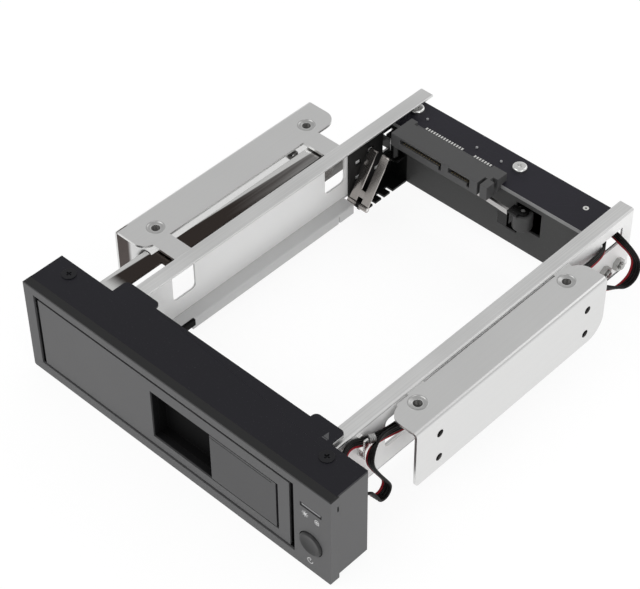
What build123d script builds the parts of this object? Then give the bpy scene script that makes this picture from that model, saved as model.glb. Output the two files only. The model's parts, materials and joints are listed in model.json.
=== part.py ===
from build123d import *
import math
import os

os.makedirs("parts", exist_ok=True)

# Trayless drive cage. Sizes in millimetres. X runs right, Y runs back from the bezel's face, Z is up.
overall_depth = 178.8

# Bezel and its steel top cover
bezel_width = 148.0
bezel_height = 42.0
flange_depth = 4.0
left_bar = 5.0
opening_bottom = 4.2
housing_inset = 0.5
housing_floor = 1.8
housing_wall = 2.0
housing_depth = 18.0
partition_wall = 1.8
cover_gauge = 1.0
cover_front = 3.3
cover_middle_back = 22.4
cover_ear_back = 25.0
cover_screw_y = 13.2
cover_screw_r = 1.4
cover_screw_left_x = -bezel_width / 2 + 9.7
cover_screw_head = 0.4
cover_ear_left = (-47.0, -30.0)
boss_half = 1.8
boss_bottom = 31.0
tongue_x = (-38.9, -37.7)
tongue_y = (14.0, 24.5)
tongue_top = 11.0

# Bay for the drive, between the two rails
drive_width = 101.6
drive_height = 26.1
drive_clearance = 0.4
bay_centre_x = 6.3
bay_floor = 11.6
sheet = 0.8
rail_front = 12.0
rail_flange = 6.4
lip_drop = 4.7
ledge_end = 133.5
rail_window_front = (43.5, 54.7)
rail_window_rear = (123.3, 134.2)
rail_window_bottom = 19.4
rail_window_top = 33.0
cable_window = (160.5, 173.0)
cable_window_bottom = 26.4
cable_window_top = 33.4
lip_notch = (40.0, 47.0)
lip_slit_y = 125.0
slit_width = 0.8

# Side brackets, with the hole pattern of a 5.25 inch bay
bracket_span = 146.0
bracket_gauge = 1.0
bracket_front = 42.3
bracket_length = 101.6
bracket_top = 38.0
bracket_bottom = 12.0
bracket_corner = 8.0
flange_corner = 6.0
side_hole_pitch = 79.25
side_hole_rise = 11.84
side_hole_first_y = 54.2
side_hole_low = 17.75
side_hole_r = 1.55
top_hole_span = 126.6
top_hole_r = 1.7
top_dimple_r = 3.5
top_dimple_depth = 0.4
left_flange_edge = -57.0
right_flange_gap = 1.5
tab_length = 8.2
left_tab_front = 46.5
right_tab_front = 54.0
tab_pitch = 78.0
ear_drop = 4.9
rivet_r = 1.2
rail_screw_r = 1.25
rivet_head_r = 1.7
rivet_head = 0.8

# Door, finger cup and latch
door_side_gap = 1.8
door_latch_gap = 2.3
door_bottom_gap = 0.7
door_top_gap = 1.7
door_face = 0.4
door_thickness = 3.2
door_skin = 1.0
hinge_barrel_r = 2.6
barrel_flat = 2.0
hinge_pin_r = 1.0
running_gap = 0.05
screw_gap = 0.12
cam_reach = 4.2
cam_lead = 0.4
cam_nose_r = 1.3
cam_hub_r = 1.5
cam_bottom = 31.0
cam_height = 4.0
cup_left = -10.4
cup_width = 28.3
cup_bottom = 8.7
cup_height = 22.8
cup_depth = 7.4
cup_wall = 1.2
handle_right = 50.0
handle_gap = 0.4
handle_end_gap = 1.0
latch_pin_r = 0.8
latch_pin_inset = 2.6
hook_thickness = 1.6
hook_gap = 0.6
hook_bottom = 16.0
hook_height = 8.0
hook_tip_gap = 0.9
latch_spring_height = 4.0
latch_spring_room = 1.3

# Power button, front board and lights
button_x = bezel_width / 2 - 9.0
button_z = 14.0
button_r = 5.0
button_gap = 0.2
button_proud = 0.8
button_travel = 1.2
board_gauge = 1.6
board_front = 9.4
front_board_x = (bezel_width / 2 - 13.4, bezel_width / 2 - 2.8)
front_board_z = (4.4, 38.4)
light_z = 31.2
light_left = bezel_width / 2 - 13.2
light_width = 8.7
light_height = 1.3
led_spacing = 5.1
led_first_x = light_left + 1.9
header_width = 8.0
header_depth = 5.4

# Slide bar, ejector lever and hold-down fork
bar_left = -58.5
bar_front_width = 8.5
bar_step_y = 43.8
bar_rear_width = 7.3
bar_rivet_gap = 0.6
bar_flat_back = 132.0
bar_leg_front = 118.0
bar_leg_top = 33.6
bar_riser = 6.0
bar_tab_reach = 4.4
bar_tab_height = 3.6
bar_bottom = 35.0
bar_gauge = 1.2
bar_foot_left = -70.2
bar_foot_gap = 1.6
bar_foot_width = 1.6
bar_foot_bottom = 31.4
lever_pin_x = -39.5
lever_pin_y = 157.6
lever_bottom = 21.4
lever_height = 8.6
lever_gauge = 1.2
lever_boss_r = 2.0
lever_pin_r = 1.1
lever_tab_gap = 0.8
lever_arm_back = 1.5
lever_nose_width = 1.2
lever_arm_height = 4.6
lever_strip = 2.2
lever_web = 4.6
roller_x = 23.4
roller_y = 158.4
roller_r = 4.0
roller_pin_r = 0.8
lever_ear = 0.8
fork_left = -43.2
fork_prong = 3.7
fork_gap = 2.4
fork_gauge = 0.6
fork_length = 21.6
fork_angle = 56.0
fork_hinge_y = 135.1
fork_hinge_z = 10.8
fork_pin_r = 0.7
fork_barrel_r = 1.2

# Black crossmember and rear board
cross_front = 160.0
cross_gauge = 1.0
cross_bottom = 8.7
board_underside = 33.0
roller_window_x = (18.8, 30.8)
roller_window_z = (19.7, 30.9)
pocket_wall = 1.0
pocket_back = 165.0
knuckle_half = 0.6
lever_notch = 5.0
ribbon_room = 5.5
arm_front = 136.0
arm_flange_width = 9.2
cross_screw_rear_y = 171.8
cross_screw_front_y = 163.6
cross_screw_rear_z = 16.3
cross_screw_front_z = 17.6
cross_screw_r = 1.5
nut_r = 2.8
nut_height = 2.0
rear_board_back = 177.5
board_screw_y = 171.4
board_screw_right_x = 10.7
board_screw_left_x = -40.6
peg_y = 170.0
peg_r = 0.5
pan_head_r = 2.9
pan_head = 1.8

# Drive connector: twenty-two contacts in a power group and a signal group
connector_offset = 20.68
pin_pitch = 1.27
power_pins = 15
signal_pins = 7
group_gap = 6.35
pin_width = 0.5
connector_front = 151.2
connector_back = 163.0
connector_top = 38.4
connector_bottom = 32.2
connector_end = 5.8
slot_depth = 6.0
slot_height = 2.2
solder_width = 0.7
solder_reach = 3.0
data_port_left = 39.3
data_port_width = 14.0
power_port_left = 23.3
power_port_width = 21.4
port_tongue = 3.0

# Harness: two flat four-wire ribbons and the clip that holds them
clip_y = (29.6, 31.6)
clip_bottom = 27.6
clip_top = 36.6
clip_reach = 3.4
wire_r = 0.53
wire_pitch = 1.27

# Sizes that follow
bay_width = drive_width + drive_clearance
rail_top = bay_floor + drive_height + drive_clearance + sheet
opening_left = -bezel_width / 2 + left_bar
opening_right = bay_centre_x + bay_width / 2 + 0.2
opening_top = bay_floor + drive_height + drive_clearance
housing_x = bezel_width / 2 - housing_inset
housing_top = bezel_height - cover_gauge
hinge_x = opening_left + door_side_gap + hinge_barrel_r
hinge_y = door_face + hinge_barrel_r
door_right = opening_right - door_latch_gap
door_bottom = opening_bottom + door_bottom_gap
door_top = opening_top - door_top_gap
door_back = door_face + door_thickness
cup_right = cup_left + cup_width
cup_top = cup_bottom + cup_height
latch_pin_x = handle_right - latch_pin_inset
latch_pin_y = door_face + door_thickness / 2
hook_front = door_back + hook_gap
partition_right = bay_centre_x + bay_width / 2 + sheet
cover_screw_right_x = partition_right + 1.9
fork_hinge_x = fork_left + fork_prong + fork_gap / 2
bar_top = bar_bottom + bar_gauge
bar_front_right = bar_left + bar_front_width
bar_rear_right = bay_centre_x - bay_width / 2 - sheet - bracket_gauge - rivet_head - bar_rivet_gap
bar_rear_left = bar_rear_right - bar_rear_width
lever_top = lever_bottom + lever_height
board_top = board_underside + board_gauge
contact_span = (power_pins - 1) * pin_pitch + group_gap + (signal_pins - 1) * pin_pitch
connector_centre = bay_centre_x - connector_offset
pin_start = connector_centre - contact_span / 2
bracket_back = bracket_front + bracket_length


def block(x0, x1, y0, y1, z0, z1):
    """A box between two corners."""
    return Pos((x0 + x1) / 2, (y0 + y1) / 2, (z0 + z1) / 2) * Box(abs(x1 - x0), y1 - y0, z1 - z0)


def rod_x(y, z, x0, x1, r):
    return Pos((x0 + x1) / 2, y, z) * Rot(0, 90, 0) * Cylinder(r, abs(x1 - x0))


def rod_y(x, z, y0, y1, r):
    return Pos(x, (y0 + y1) / 2, z) * Rot(90, 0, 0) * Cylinder(r, y1 - y0)


def rod_z(x, y, z0, z1, r):
    return Pos(x, y, (z0 + z1) / 2) * Cylinder(r, z1 - z0)


def group(solids):
    """Separate solids that share one node."""
    return Compound(children=list(solids))


def rail_x(side, reach):
    """X of a point that lies reach outside the bay's edge, on the left (-1) or the right (1)."""
    return bay_centre_x + side * (bay_width / 2 + reach)


def cross_slot(x, y, top, size=2.2, depth=0.7):
    """Phillips recess in the top of a screw head."""
    one = block(x - size / 2, x + size / 2, y - 0.3, y + 0.3, top - depth, top + 1)
    other = block(x - 0.3, x + 0.3, y - size / 2, y + size / 2, top - depth, top + 1)
    return one + other


# Bezel: a moulded front frame with a shallow housing behind it
def make_bezel():
    half = bezel_width / 2
    flange = block(-half, half, 0, flange_depth, 0, bezel_height)
    flange = fillet(flange.edges().filter_by(Axis.Y), 0.8)
    flange -= block(opening_left, opening_right, -1, flange_depth + 1, opening_bottom, opening_top)
    flange -= block(-housing_x - 0.2, housing_x + 0.2, cover_front, flange_depth + 1, housing_top, bezel_height + 1)
    outer = block(-housing_x, housing_x, flange_depth, housing_depth, housing_floor, housing_top)
    cavity_top = housing_top - housing_wall
    cavity = block(-housing_x + housing_wall, housing_x - housing_wall, flange_depth, housing_depth + 1,
                   housing_floor + housing_wall, cavity_top)
    body = flange + (outer - cavity)
    floor = housing_floor + housing_wall
    for side, gauge in ((-1, housing_wall), (1, partition_wall)):
        inner = rail_x(side, sheet)
        outer_x = inner + side * gauge
        body += block(min(inner, outer_x), max(inner, outer_x), flange_depth, housing_depth, floor, cavity_top)
    for x, y, width in cover_bosses():
        body += block(x - width / 2, x + width / 2, y - boss_half, y + boss_half, boss_bottom, cavity_top)
        body -= rod_z(x, y, boss_bottom + 1, housing_top + 1, cover_screw_r + running_gap)
    for x, z in board_posts():
        body += rod_y(x, z, flange_depth, board_front, 1.8)
        body -= rod_y(x, z, flange_depth + 0.6, board_front + 1, 0.8 + running_gap)
    body -= rod_y(button_x, button_z, -1, flange_depth + 1, button_r + button_gap)
    body -= block(light_left, light_left + light_width, -1, flange_depth + 1,
                  light_z - light_height / 2, light_z + light_height / 2)
    body -= rod_z(hinge_x, hinge_y, 1.5, bezel_height - 1.5, hinge_pin_r + running_gap)
    body -= block(opening_left - 2.2, opening_left + 1, 1.0, flange_depth + 1,
                  cam_bottom - 1, cam_bottom + cam_height + 1)
    for side in (-1, 1):
        for y, z in rail_screws():
            body -= rod_x(y, z, rail_x(side, 0), rail_x(side, 5), rail_screw_r + screw_gap)
    return body + block(*tongue_x, *tongue_y, housing_floor, tongue_top)


def cover_bosses():
    return ((cover_screw_left_x, cover_screw_y, 6.0), (cover_screw_right_x, cover_screw_y, 3.8))


def board_posts():
    return ((bezel_width / 2 - 5, 36.0), (bezel_width / 2 - 5, 5.9))


def rail_screws():
    """Y and Z of the screws that hold each rail's front end."""
    return ((15.4, 16.5), (15.4, 26.5))


def make_cover():
    x = housing_x
    ears = (cover_ear_left, (44.0, partition_right - 0.6))
    plate = block(-x, x, cover_front, housing_depth, housing_top, bezel_height)
    plate += block(ears[0][0], ears[1][1], cover_front, cover_middle_back, housing_top, bezel_height)
    for x0, x1 in ears:
        ear = block(x0, x1, cover_front, cover_ear_back, housing_top, bezel_height)
        ear = fillet(ear.edges().filter_by(Axis.Z).group_by(Axis.Y)[-1], 2.0)
        plate += ear
    for x0, y, width in cover_bosses():
        plate -= rod_z(x0, y, housing_top - 1, bezel_height + 1, cover_screw_r + running_gap)
    return plate


def make_cover_screws():
    screws = []
    for x, y, width in cover_bosses():
        head = rod_z(x, y, bezel_height, bezel_height + cover_screw_head, 2.7)
        shank = rod_z(x, y, 33.0, bezel_height, cover_screw_r)
        screws.append(head + shank - cross_slot(x, y, bezel_height + cover_screw_head))
    return group(screws)


# Door with its hinge, cup and latch
def make_door():
    panel = block(hinge_x, door_right, door_face, door_back, door_bottom, door_top)
    panel += rod_z(hinge_x, hinge_y, door_bottom, door_top, hinge_barrel_r)
    panel -= block(cup_left, handle_right, -1, door_back + 1, cup_bottom, cup_top)
    panel += block(hinge_x - hinge_barrel_r, hinge_x, door_face, hinge_y, door_bottom, door_top)
    panel -= block(hinge_x - 4, hinge_x + hinge_barrel_r + 0.4, door_face + door_skin, hinge_y + 4,
                   cam_bottom - 0.1, cam_bottom + cam_height + 0.1)
    panel -= block(hinge_x - 4, hinge_x + hinge_barrel_r, hinge_y + barrel_flat, hinge_y + 4,
                   cam_bottom + cam_height, door_top + 1)
    panel -= rod_z(hinge_x, hinge_y, door_bottom - 1, door_top + 1, hinge_pin_r + running_gap)
    panel -= rod_z(latch_pin_x, latch_pin_y, cup_bottom - 2.2, cup_top + 2.2, latch_pin_r + running_gap)
    return panel


def make_door_cam():
    nose_x = hinge_x - cam_reach
    nose_y = hinge_y - cam_lead
    top = cam_bottom + cam_height
    cam = rod_z(hinge_x, hinge_y, cam_bottom, top, cam_hub_r)
    cam += block(nose_x, hinge_x, nose_y - 0.9, nose_y + 1.0, cam_bottom, top)
    cam += rod_z(nose_x, nose_y, cam_bottom, top, cam_nose_r)
    cam += block(hinge_x, hinge_x + hinge_barrel_r + 0.4, door_face + door_skin + 0.1, door_back,
                 cam_bottom, top)
    return cam - rod_z(hinge_x, hinge_y, cam_bottom - 1, top + 1, hinge_pin_r + running_gap)


def make_hinge_pin():
    return rod_z(hinge_x, hinge_y, 1.6, bezel_height - 1.6, hinge_pin_r)


def make_finger_cup():
    x0, x1 = cup_left - cup_wall, cup_right + cup_wall
    z0, z1 = cup_bottom - cup_wall, cup_top + cup_wall
    cup = block(x0, x1, door_back, cup_depth + cup_wall - 0.4, z0, z1)
    return cup - block(cup_left, cup_right, door_back - 1, cup_depth - 0.4, cup_bottom, cup_top)


def make_latch_handle():
    x0, x1 = cup_right + handle_gap, handle_right - handle_end_gap
    z0, z1 = cup_bottom + handle_gap, cup_top - handle_gap
    plate = block(x0, x1, door_face, door_back, z0, z1)
    plate -= block(x0 - 1, x1 - 1.8, door_face - 1, door_face + 0.25, z1 - 1.2, z1 - 0.9)
    hook_top = hook_bottom + hook_height
    back = hook_front + hook_thickness
    plate += block(latch_pin_x - 1.4, x1, door_back, back, hook_bottom, hook_top)
    plate += block(latch_pin_x - 1.4, opening_right - hook_tip_gap, hook_front, back, hook_bottom, hook_top)
    plate -= rod_z(latch_pin_x, latch_pin_y, z0 - 1, z1 + 1, latch_pin_r + running_gap)
    spring_z = hook_top + 1.5
    plate -= block(latch_pin_x - 2.0, latch_pin_x + latch_spring_room, door_face + 0.3, door_back + 1,
                   spring_z - 0.2, spring_z + latch_spring_height + 0.2)
    return plate


def make_latch_pin():
    return rod_z(latch_pin_x, latch_pin_y, cup_bottom - 2.0, cup_top + 2.0, latch_pin_r)


def make_latch_spring():
    """Torsion spring round the latch pin, drawn as its turns touching each other."""
    z0 = hook_bottom + hook_height + 1.5
    turns = rod_z(latch_pin_x, latch_pin_y, z0, z0 + latch_spring_height, latch_pin_r + 0.35)
    turns -= rod_z(latch_pin_x, latch_pin_y, z0 - 1, z0 + latch_spring_height + 1, latch_pin_r + running_gap)
    return turns


def make_latch_keeper():
    top = hook_bottom + hook_height + 1
    return block(opening_right, partition_right, flange_depth + 0.6, rail_front - 0.5, hook_bottom - 1, top)


# Power button, board and lights on the right of the bezel
def make_power_button():
    face = -button_proud
    cap = rod_y(button_x, button_z, face, flange_depth + 0.4, button_r)
    cap = fillet(cap.edges().filter_by(GeomType.CIRCLE).group_by(Axis.Y)[0], 0.7)
    for side in (-1, 1):
        z = button_z + side * (button_r + 0.6)
        cap += block(button_x - 1.5, button_x + 1.5, flange_depth + 0.1, flange_depth + 1.1, z - 1.2, z + 1.2)
    cap += block(button_x - 1.5, button_x + 1.5, flange_depth + 0.1, flange_depth + 1.1,
                 button_z - button_r, button_z + button_r)
    return cap + rod_y(button_x, button_z, flange_depth, switch_tip() - button_travel - 0.05, 1.6)


def switch_tip():
    return board_front - 3.1 + 0.6


def make_button_spring():
    y0 = flange_depth + 1.1
    ring = rod_y(button_x, button_z, y0, y0 + 0.5, 3.0)
    return ring - rod_y(button_x, button_z, y0 - 1, y0 + 2, 2.2)


def make_front_board():
    board = block(*front_board_x, board_front, board_front + board_gauge, *front_board_z)
    for x, z in board_posts():
        board -= rod_y(x, z, board_front - 1, board_front + board_gauge + 1, 0.8 + running_gap)
    return board


def make_board_screws():
    screws = []
    back = board_front + board_gauge
    for x, z in board_posts():
        screws.append(rod_y(x, z, back, back + 1.0, 1.7) + rod_y(x, z, flange_depth + 1.2, back, 0.8))
    return group(screws)


def make_switch():
    tip = switch_tip()
    return block(button_x - 3, button_x + 3, tip + 0.5, board_front, button_z - 3, button_z + 3) + rod_y(
        button_x, button_z, tip, tip + 0.5, 1.7)


def make_leds():
    leds = []
    for i in range(2):
        x = led_first_x + i * led_spacing
        leds.append(block(x - 0.8, x + 0.8, board_front - 0.8, board_front, light_z - 0.6, light_z + 0.6))
    return group(leds)


def make_light_pipe():
    x0, x1 = light_left + 0.1, light_left + light_width - 0.1
    z0, z1 = light_z - light_height / 2 + 0.1, light_z + light_height / 2 - 0.1
    return block(x0, x1, 0.2, board_front - 0.9, z0, z1)


def make_front_headers():
    y0 = board_front + board_gauge
    x0 = front_board_x[0] + 1.4
    return group([block(x0, x0 + header_width, y0, y0 + header_depth, z - 3, z + 3) for z in (14.0, 25.0)])


# Rails: stainless channels with a top flange, a ledge under the drive and a lip below it
def make_rail(side):
    inner, outer = rail_x(side, 0), rail_x(side, sheet)
    tip = rail_x(side, sheet - rail_flange)
    x0, x1 = min(inner, outer), max(inner, outer)
    reach0, reach1 = min(tip, outer), max(tip, outer)
    low = bay_floor - sheet
    rail = block(x0, x1, rail_front, overall_depth, low, rail_top)
    rail += block(reach0, reach1, rail_front, overall_depth, rail_top - sheet, rail_top)
    rail += block(reach0, reach1, rail_front, ledge_end, low, bay_floor)
    lip_inner = tip + side * sheet
    lip0, lip1 = min(tip, lip_inner), max(tip, lip_inner)
    lip = block(lip0, lip1, rail_front, ledge_end, bay_floor - lip_drop, bay_floor)
    lip -= block(lip0 - 1, lip1 + 1, lip_notch[0], lip_notch[1], bay_floor - lip_drop - 1, low - 0.6)
    lip -= block(lip0 - 1, lip1 + 1, lip_slit_y, lip_slit_y + slit_width, bay_floor - lip_drop - 1, low - 0.6)
    rail += lip
    rail -= window(x0, x1, rail_window_front)
    if side < 0:
        rail -= window(x0, x1, rail_window_rear)
        rail -= block(x0 - 1, x1 + 1, lever_slot()[0], lever_slot()[1], lever_bottom - 1, lever_top + 1)
    else:
        rail -= block(x0 - 1, x1 + 1, cable_window[0], cable_window[1], cable_window_bottom, cable_window_top)
    for y, z in rail_screws():
        rail -= rod_x(y, z, x0 - 1, x1 + 1, rail_screw_r + screw_gap)
    for y, z in cross_screws():
        rail -= rod_x(y, z, x0 - 1, x1 + 1, cross_screw_r + running_gap)
    for y in rivet_places(side):
        rail -= rod_x(y, rivet_z(), x0 - 1, x1 + 1, rivet_r + screw_gap)
    return rail


def window(x0, x1, span):
    """Rounded window in a rail's wall."""
    cut = block(x0 - 1, x1 + 1, span[0], span[1], rail_window_bottom, rail_window_top)
    return fillet(cut.edges().filter_by(Axis.X), 2.0)


def lever_slot():
    return (155.0, 162.0)


def cross_screws():
    return ((cross_screw_rear_y, cross_screw_rear_z), (cross_screw_front_y, cross_screw_front_z))


def make_rail_screws():
    screws = []
    for side in (-1, 1):
        wall = housing_wall if side < 0 else partition_wall
        face = rail_x(side, sheet + wall)
        for y, z in rail_screws():
            head = rod_x(y, z, face, face + side * 1.3, 2.3)
            screws.append(head + rod_x(y, z, rail_x(side, -0.1), face, rail_screw_r))
    return group(screws)


# Side brackets, bent from sheet and riveted to the rails by their ears
def tab_front(side):
    return left_tab_front if side < 0 else right_tab_front


def rivet_places(side):
    first = tab_front(side) + tab_length / 2
    return (first, first + tab_pitch)


def rivet_z():
    return bracket_top - bracket_gauge - rivet_head_r - 0.1


def make_bracket(side):
    outer = side * bracket_span / 2
    wall_inner = outer - side * bracket_gauge
    edge = left_flange_edge if side < 0 else rail_x(1, sheet + right_flange_gap)
    wall = block(min(outer, wall_inner), max(outer, wall_inner), bracket_front, bracket_back,
                 bracket_bottom, bracket_top)
    low_edges = wall.edges().filter_by(Axis.X).group_by(Axis.Z)[0].sort_by(Axis.Y)
    wall = fillet(low_edges[-1], bracket_corner)
    wall = fillet(wall.edges().filter_by(Axis.X).group_by(Axis.Z)[0].sort_by(Axis.Y)[0], 2.0)
    under = bracket_top - bracket_gauge
    top = block(min(outer, edge), max(outer, edge), bracket_front, bracket_back, under, bracket_top)
    inner_edges = top.edges().filter_by(Axis.Z).sort_by(Axis.X)
    inner_edges = inner_edges[-2:] if side < 0 else inner_edges[:2]
    top = fillet(inner_edges, flange_corner)
    bracket = wall + top
    rail_face = rail_x(side, sheet)
    ear_outer = rail_face + side * bracket_gauge
    for i in range(2):
        y0 = tab_front(side) + i * tab_pitch
        far = edge + side * 2
        bracket += block(min(rail_face, far), max(rail_face, far), y0, y0 + tab_length, under, bracket_top)
        bracket += block(min(rail_face, ear_outer), max(rail_face, ear_outer), y0, y0 + tab_length,
                         bracket_top - ear_drop, bracket_top)
        bracket -= rod_x(y0 + tab_length / 2, rivet_z(), rail_face - side, rail_face + side * 3,
                         rivet_r + screw_gap)
    for i in range(2):
        y = side_hole_first_y + i * side_hole_pitch
        for z in (side_hole_low, side_hole_low + side_hole_rise):
            bracket -= rod_x(y, z, outer - side * 3, outer + side, side_hole_r)
        x = side * top_hole_span / 2
        bracket -= rod_z(x, y - 0.6, bracket_top - 3, bracket_top + 1, top_hole_r)
        bracket -= rod_z(x, y - 0.6, bracket_top - top_dimple_depth, bracket_top + 1, top_dimple_r)
    return bracket


def make_rivets(side):
    face = rail_x(side, sheet + bracket_gauge)
    rivets = []
    for y in rivet_places(side):
        head = rod_x(y, rivet_z(), face, face + side * rivet_head, rivet_head_r)
        rivets.append(head + rod_x(y, rivet_z(), rail_x(side, -0.1), face, rivet_r))
    return group(rivets)


# Black crossmember: front wall, side arms, shelf for the board and a slotted flange on the left
def make_crossmember():
    x0, x1 = rail_x(-1, -0.1), rail_x(1, -0.1)
    back = rear_board_back - 1.5
    low = cross_bottom
    wall = block(x0, x1, cross_front, cross_front + cross_gauge, low, board_underside)
    wall -= block(*roller_window_x, cross_front - 1, cross_front + 2, *roller_window_z)
    wall -= block(x0 - 1, x0 + lever_notch, cross_front - 1, cross_front + 2, lever_bottom - 1, lever_top + 1)
    left = block(x0, x0 + cross_gauge, arm_front, back, fork_hinge_z - 1.4, board_underside)
    left -= block(x0 - 1, x0 + 2, lever_slot()[0], lever_slot()[1], lever_bottom - 1, lever_top + 1)
    for y, z in ((141.0, 18.0), (147.0, 21.0), (141.0, 25.5), (148.0, 27.5), (152.0, 16.0)):
        left -= block(x0 - 1, x0 + 2, y - 1.6, y + 1.6, z - 1.3, z + 1.3)
    right = block(x1 - cross_gauge, x1, cross_front, back, low, cable_window_bottom - 1)
    shelf = block(x0, x1 - ribbon_room, cross_front, cross_front + 5.5, board_underside - cross_gauge, board_underside)
    shelf += block(board_screw_right_x - 6, board_screw_right_x + 6, cross_front, back,
                   board_underside - cross_gauge, board_underside)
    shelf += block(x0, board_screw_left_x + 5, cross_front, back, board_underside - cross_gauge, board_underside)
    flange_z = fork_hinge_z - 1.4 - cross_gauge
    flange = block(x0, x0 + arm_flange_width, fork_hinge_y + 2.2, cross_front, flange_z, flange_z + cross_gauge)
    for y in (140.4, 145.4, 150.4):
        flange -= block(x0 + arm_flange_width - 3.2, x0 + arm_flange_width + 1, y, y + 1.6,
                        flange_z - 1, flange_z + 2)
    body = wall + left + right + shelf + flange
    knuckle_x = fork_hinge_x
    knuckle0, knuckle1 = knuckle_x - knuckle_half, knuckle_x + knuckle_half
    body += block(knuckle0, knuckle1, fork_hinge_y, fork_hinge_y + 4, flange_z, fork_hinge_z)
    body += rod_x(fork_hinge_y, fork_hinge_z, knuckle0, knuckle1, fork_barrel_r)
    body -= rod_x(fork_hinge_y, fork_hinge_z, knuckle_x - 5, knuckle_x + 5, fork_pin_r + running_gap)
    foot_z = lever_bottom - 0.4
    body += block(lever_pin_x - 3, lever_pin_x + 3, lever_pin_y - 2, cross_front + 0.5, foot_z - cross_gauge, foot_z)
    top_z = lever_top + 0.4
    body += block(lever_pin_x - 3, lever_pin_x + 3, lever_pin_y - 2, cross_front + 0.5, top_z, top_z + cross_gauge)
    body -= rod_z(lever_pin_x, lever_pin_y, foot_z - 3, top_z + 3, lever_pin_r + running_gap)
    for side in (-1, 1):
        for y, z in cross_screws():
            body -= rod_x(y, z, rail_x(side, -3), rail_x(side, 1), cross_screw_r + running_gap)
    for x in (board_screw_left_x, board_screw_right_x):
        body -= rod_z(x, board_screw_y, board_underside - 3, board_underside + 1, 1.5 + running_gap)
    return body


def make_roller_housing():
    """Box behind the window that the roller stands in, open to the front."""
    x0, x1 = roller_window_x
    z0, z1 = roller_window_z
    front = cross_front + cross_gauge + 0.05
    housing = block(x0 - pocket_wall, x1 + pocket_wall, front, pocket_back + pocket_wall,
                    z0 - pocket_wall, z1 + pocket_wall)
    return housing - block(x0, x1, cross_front, pocket_back, z0, z1)


def make_cross_screws():
    screws = []
    for side in (-1, 1):
        for y, z in cross_screws():
            seat = rail_x(side, -0.1 - cross_gauge)
            head = rod_x(y, z, seat - side * 1.4, seat, 2.5)
            screws.append(head + rod_x(y, z, seat, rail_x(side, sheet + nut_height + 1.0), cross_screw_r))
    return group(screws)


def make_cross_nuts():
    nuts = []
    for side in (-1, 1):
        for y, z in cross_screws():
            face = rail_x(side, sheet)
            hexagon = extrude(RegularPolygon(nut_r, 6), nut_height)
            hexagon -= Cylinder(cross_screw_r + running_gap, nut_height * 3)
            nuts.append(Pos(face, y, z) * Rot(0, 90 * side, 0) * hexagon)
    return group(nuts)


# Rear board with the drive connector
def make_rear_board():
    x0, x1 = rail_x(-1, -1.3), rail_x(1, -1.3)
    board = block(x0, x1, cross_front - 0.2, rear_board_back, board_underside, board_top)
    for x in (board_screw_left_x, board_screw_right_x):
        board -= rod_z(x, board_screw_y, board_underside - 1, board_top + 1, 1.5 + running_gap)
    board -= rod_z(42.5, 171.0, board_underside - 1, board_top + 1, 0.9)
    for x in peg_places():
        board -= rod_z(x, peg_y, board_underside - 1, board_top + 1, peg_r + running_gap)
    return board


def peg_places():
    return (-34.0, -9.1, 2.9)


def make_rear_board_screws():
    screws = []
    for x in (board_screw_left_x, board_screw_right_x):
        head = rod_z(x, board_screw_y, board_top, board_top + pan_head, pan_head_r)
        head = fillet(head.edges().filter_by(GeomType.CIRCLE).group_by(Axis.Z)[-1], 0.8)
        shank = rod_z(x, board_screw_y, board_underside - 2.5, board_top, 1.5)
        screws.append(head + shank - cross_slot(x, board_screw_y, board_top + pan_head))
    return group(screws)


def pin_positions():
    """X of each contact: the power group first, then the signal group."""
    power = [pin_start + i * pin_pitch for i in range(power_pins)]
    first = power[-1] + group_gap
    return power, [first + i * pin_pitch for i in range(signal_pins)]


def make_drive_connector():
    x0 = pin_start - connector_end
    x1 = pin_start + contact_span + connector_end + 4.0
    body = block(x0, x1, connector_front, cross_front - 0.3, connector_bottom, connector_top)
    body += block(x0, x1, cross_front - 0.3, connector_back, board_top, connector_top)
    body -= block(x0 + 3.2, x1 - 6.5, connector_back - 2.2, connector_back + 1, connector_top - 1.4, connector_top + 1)
    for pins in pin_positions():
        mouth0, mouth1 = pins[0] - 1.4, pins[-1] + 1.4
        z0 = board_top + 0.6
        body -= block(mouth0, mouth1, connector_front - 1, connector_front + slot_depth, z0, z0 + slot_height)
        body -= block(mouth1 - 1.2, mouth1, connector_front - 1, connector_front + slot_depth, z0 - 1.6, z0 + 0.1)
    body -= block(x1 - 4.6, x1 - 3.4, connector_front - 1, connector_front + 4.5, connector_bottom - 1, connector_top + 1)
    body -= block(x1 - 2.2, x1 + 1, connector_front + 4.5, connector_front + 6.5, connector_bottom - 1, connector_top + 1)
    return body


def make_contacts():
    power, signal = pin_positions()
    z0 = board_top + 0.6
    return group([block(x - pin_width / 2, x + pin_width / 2, connector_front + 0.8, connector_front + slot_depth,
                        z0, z0 + 0.3) for x in power + signal])


def make_solder_legs():
    power, signal = pin_positions()
    return group([block(x - solder_width / 2, x + solder_width / 2, connector_back, connector_back + solder_reach,
                        board_top, board_top + 0.4) for x in power + signal])


def make_pegs():
    return group([rod_z(x, peg_y, board_underside, board_top + 0.5, peg_r) for x in peg_places()])


def make_port(left, width):
    """Rear-facing port under the board, left of the bay's middle, open at the back with a tongue inside."""
    x0 = bay_centre_x - left
    x1 = x0 + width
    z1 = board_underside
    z0 = z1 - 6.4
    y0 = cross_front + 6.2
    y1 = rear_board_back
    shell = block(x0, x1, y0, y1, z0, z1) - block(x0 + 1.2, x1 - 1.2, y0 + 2.5, y1 + 1, z0 + 1.2, z1 - 1.2)
    return shell + block(x0 + 2.2, x1 - 2.2, y0 + 2.0, y1 - port_tongue, (z0 + z1) / 2 - 0.6, (z0 + z1) / 2 + 0.6)


def make_rear_headers():
    return group([block(41.0, 50.0, y, y + 3.4, board_underside - 6.5, board_underside) for y in (166.3, 170.7)])


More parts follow.
